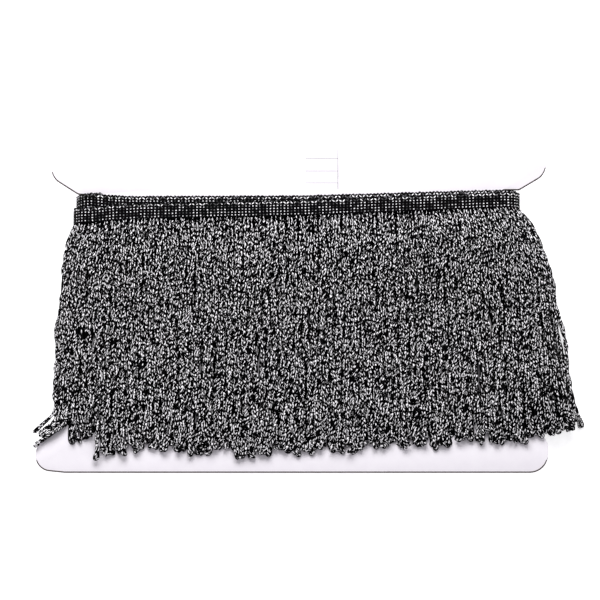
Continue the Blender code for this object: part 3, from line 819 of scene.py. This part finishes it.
# %% Loops of chainette
RING_LENGTH = 3.6
SWAYS = (
    # wavelength, reach across, reach in depth
    (95.0, 0.90, 0.25),
    (43.0, 0.50, 0.20),
    (19.0, 0.26, 0.12),
)
STRANDS = (
    # side, depth, loops, steps down a leg, sides, yarn radius
    (FRONT, "outer", 124, 72, 5, 0.82),
    (FRONT, "middle", 116, 44, 4, 0.92),
    (FRONT, "inner", 116, 26, 4, 1.2),
    (BACK, "outer", 124, 56, 5, 0.82),
    (BACK, "middle", 116, 28, 4, 0.92),
    (BACK, "inner", 116, 26, 4, 1.2),
)
STRAYS = (
    # side, loop counted from the right, or from the left with a minus, x and y of its end
    (FRONT, 0, 162.6, -68.5),
    (FRONT, -11, -127.4, -89.5),
    (FRONT, -1, -160.4, -73.2),
    (FRONT, -2, -158.9, -74.8),
    (FRONT, -3, -161.6, -82.4),
    (FRONT, -4, -158.0, -79.2),
    (FRONT, -5, -156.6, -76.0),
    (FRONT, -6, -152.6, -75.0),
)
INNER_SPREAD_FROM = (INNER_LEFT, -105.0, 90.0, INNER_RIGHT)
INNER_SPREAD_TO = (LIMIT_LEFT + 3.0, -105.0, 90.0, LIMIT_RIGHT - 4.0)
OUTER_LEFT, OUTER_RIGHT = LIMIT_LEFT + 1.6, LIMIT_RIGHT - 1.4
TRIAL_PLACES, ROOT_OVERLAP, ROOT_JITTER, END_JITTER = 400, 0.8, 0.4, (-0.6, 1.6)
# Loops drift towards their bunch, and strays to their own place, over the last part of the way.
CLING, CLING_REACH, CLING_FROM = 0.36, 4.5, 0.88
STRAY_FROM, STRAY_POWER = 0.91, 1.25
# Every second loop lies lower, and all sink towards the card near the hem.
SWAY_FROM, SWAY_FULL, SWAY_SPREAD, LOW_AND_HIGH = 0.02, 0.35, 0.35, 0.6
SINK, SINK_FROM, SINK_CLEAR = 0.35, 0.9, 1.1
# how far the legs lie from the loop's middle, and how many times they twist
LEG_APART, LEG_DEPTH, TWISTS = 0.78, 0.74, (3.5, 8.0)
PARTED_AT_TOP, PARTED_BY = 0.4, 0.12


def end_place(depth, s):
    """Where along x a loop ends. The inner layers reach out behind the outer one near both ends."""
    if depth == "outer":
        return hem_x(s)
    return hem_x(np.interp(s, INNER_SPREAD_FROM, INNER_SPREAD_TO))


def spread_loops(depth, loops):
    """Places s of the loops, from the right, evenly spaced where they are halfway across."""
    first, last = (OUTER_LEFT, OUTER_RIGHT) if depth == "outer" else (INNER_LEFT, INNER_RIGHT)
    every_s = np.linspace(first, last, TRIAL_PLACES)
    spread = (every_s + end_place(depth, every_s)) / 2
    s = np.interp(np.linspace(spread[-1], spread[0], loops), spread, every_s)
    return s + chance.uniform(-ROOT_JITTER, ROOT_JITTER, loops)


def loop_ends(side, depth, end_x, share):
    """How low each loop ends, and its drift across at each share of the way down."""
    bunch_x, bunch_y = bunches[side][np.argmin(abs(end_x[:, None] - bunches[side][None, :, 0]), axis=1)].T
    off = end_x - bunch_x
    tip_y = bunch_y + RECESS_RISE * (1 - np.exp(-(off / BUNCH_SPREAD) ** 2))
    end_y = tip_y + RING_LENGTH + chance.uniform(*END_JITTER, len(off))
    drift = -CLING * off * np.exp(-(off / CLING_REACH) ** 2)
    pull = np.tile(smooth(share, CLING_FROM, 1.0), (len(off), 1))
    for stray_side, number, x, y in STRAYS:
        if (stray_side, "outer") == (side, depth):
            drift[number], end_y[number] = x - end_x[number], y
            pull[number] = np.clip((share - STRAY_FROM) / (1 - STRAY_FROM), 0, 1) ** STRAY_POWER
    return end_y, drift[:, None] * pull


def loop_heights(side, depth, s, end_x, root_z, share):
    """The height of each loop over the table at each share of the way down."""
    z = np.tile(layer_z(side, depth, share), (len(s), 1))
    if depth == "outer":
        settled = 1 - smooth(share, 0, SETTLED_AT)
        z = z + (root_z[:, None] - z[:, :1]) * settled
        if side == FRONT:
            around = (s < NECK_LEFT) | (s > NECK_RIGHT)
            hung = np.interp(end_x, HEM_END_X, HEM_END_Z) + LOCK_THICK / 2
            fallen = smooth(share, 0, FALLEN_AT)
            z = np.where(around[:, None], root_z[:, None] + (hung - root_z)[:, None] * fallen, z)
    return z


def leg_twist(loops, share):
    """How far one leg lies from the middle of each loop, as the two twist round each other."""
    twists = chance.uniform(*TWISTS, loops)
    start = chance.uniform(0, 2 * math.pi, loops)
    angle = start[:, None] + 2 * math.pi * twists[:, None] * share
    parting = PARTED_AT_TOP + (1 - PARTED_AT_TOP) * smooth(share, 0, PARTED_BY)
    part_x, part_z = LEG_APART * np.cos(angle) * parting, LEG_DEPTH * np.sin(angle) * parting
    return np.stack([part_x, 0 * part_x, part_z], 2)


def loop_lines(side, depth, loops, steps):
    """The middle line of each of a layer's loops, and how far one leg lies from it."""
    share = np.linspace(0, 1, steps)
    s = spread_loops(depth, loops)
    root_x, root_z = root_place(side, depth, s)
    top = root_y(side, depth, s) + ROOT_OVERLAP
    end_x = end_place(depth, s)
    end_y, drift = loop_ends(side, depth, end_x, share)
    x = root_x[:, None] + (end_x - root_x)[:, None] * flare(s, share) + drift
    y = top[:, None] + (end_y - top)[:, None] * share
    z = loop_heights(side, depth, s, end_x, root_z, share)
    ease = smooth(share, SWAY_FROM, SWAY_FULL)
    for wavelength, reach_x, reach_z in SWAYS:
        phase = chance.uniform(0, 2 * math.pi, (2, loops, 1))
        wave = 2 * math.pi * y / wavelength
        x = x + reach_x * chance.normal(1, SWAY_SPREAD, (loops, 1)) * np.sin(wave + phase[0]) * ease
        z = z + reach_z * np.sin(wave + phase[1]) * ease
    z = z + np.where(np.arange(loops) % 2, LOW_AND_HIGH, -LOW_AND_HIGH)[:, None] * ease
    if side == FRONT:
        near_hem = smooth(share, SINK_FROM, 1.0)
        z = z - near_hem * SINK * np.clip(z - CARD_FRONT_Z - SINK_CLEAR, 0, None)
    return np.stack([x, y, z], 2), leg_twist(loops, share)


print("the outer layers hang from s =", round(OUTER_LEFT, 1), "to", round(OUTER_RIGHT, 1), "mm")

# %% [markdown]
# The ring at a loop's end is wider than the two legs together, and it curls to one side or the other.
# The yarn is spun unevenly, so its radius changes from one ring of the tube to the next. The first
# two rings and the last two taper, where the loop goes under the heading.

# %% Ends and strands
TIP_STEPS = 9
RING_BULGE, RING_HALF_WIDTHS, RING_STRETCH = 1.2, (1.5, 2.3), (0.8, 1.25)
CURL_SPREAD, RING_DIP = 0.5, 0.12
YARN_UNEVEN = (0.84, 1.1)
# in yarn radii, over the table
FLOOR_CLEARANCE = 1.1


def add_ends(middle, part):
    """Joins the two legs of each loop with the ring at its end."""
    loops = len(middle)
    theta = np.linspace(0, math.pi, TIP_STEPS + 2)[1:-1]
    way = middle[:, -1] - middle[:, -3]
    curl = np.arctan2(way[:, 0], -way[:, 1]) + chance.normal(0, CURL_SPREAD, loops)
    down = np.stack([np.sin(curl), -np.cos(curl), -RING_DIP + 0 * curl], 1)
    wide = chance.uniform(*RING_HALF_WIDTHS, loops)
    long = RING_LENGTH * chance.uniform(*RING_STRETCH, loops)
    last = part[:, -1]
    half = np.linalg.norm(last, axis=1)
    lateral = last / half[:, None]
    reach = half[:, None] + (wide - half)[:, None] * np.sin(theta) * RING_BULGE
    ring = (middle[:, -1:] + lateral[:, None] * (np.cos(theta) * reach)[:, :, None]
            + down[:, None] * (long[:, None] * np.sin(theta))[:, :, None])
    return np.concatenate([middle + part, ring, (middle - part)[:, ::-1]], 1)


for side, depth, loops, steps, sides, radius in STRANDS:
    paths = add_ends(*loop_lines(side, depth, loops, steps))
    paths[:, :, 2] = np.maximum(paths[:, :, 2], radius * FLOOR_CLEARANCE)
    rings = paths.shape[1]
    radii = radius * chance.uniform(*YARN_UNEVEN, (loops, rings))
    taper = np.minimum(np.arange(rings), np.arange(rings)[::-1]) / 2
    radii *= np.clip(0.55 + 0.45 * taper, 0, 1)[None, :]
    mesh_parts = tubes(paths, radii, sides, STITCH_LENGTH, chance.uniform(0, 50, loops))
    side_name = "front" if side == FRONT else "back"
    piece = mesh_piece(f"strands_{side_name}_{depth}", *mesh_parts, "stitches", marl, "chainette",
                       f"fringe_{side_name}_{depth}")

# %% [markdown]
# The band is 10.5 mm wide and wound round the card in layers. Last, the view layer is brought up to
# date.

bpy.context.view_layer.update()
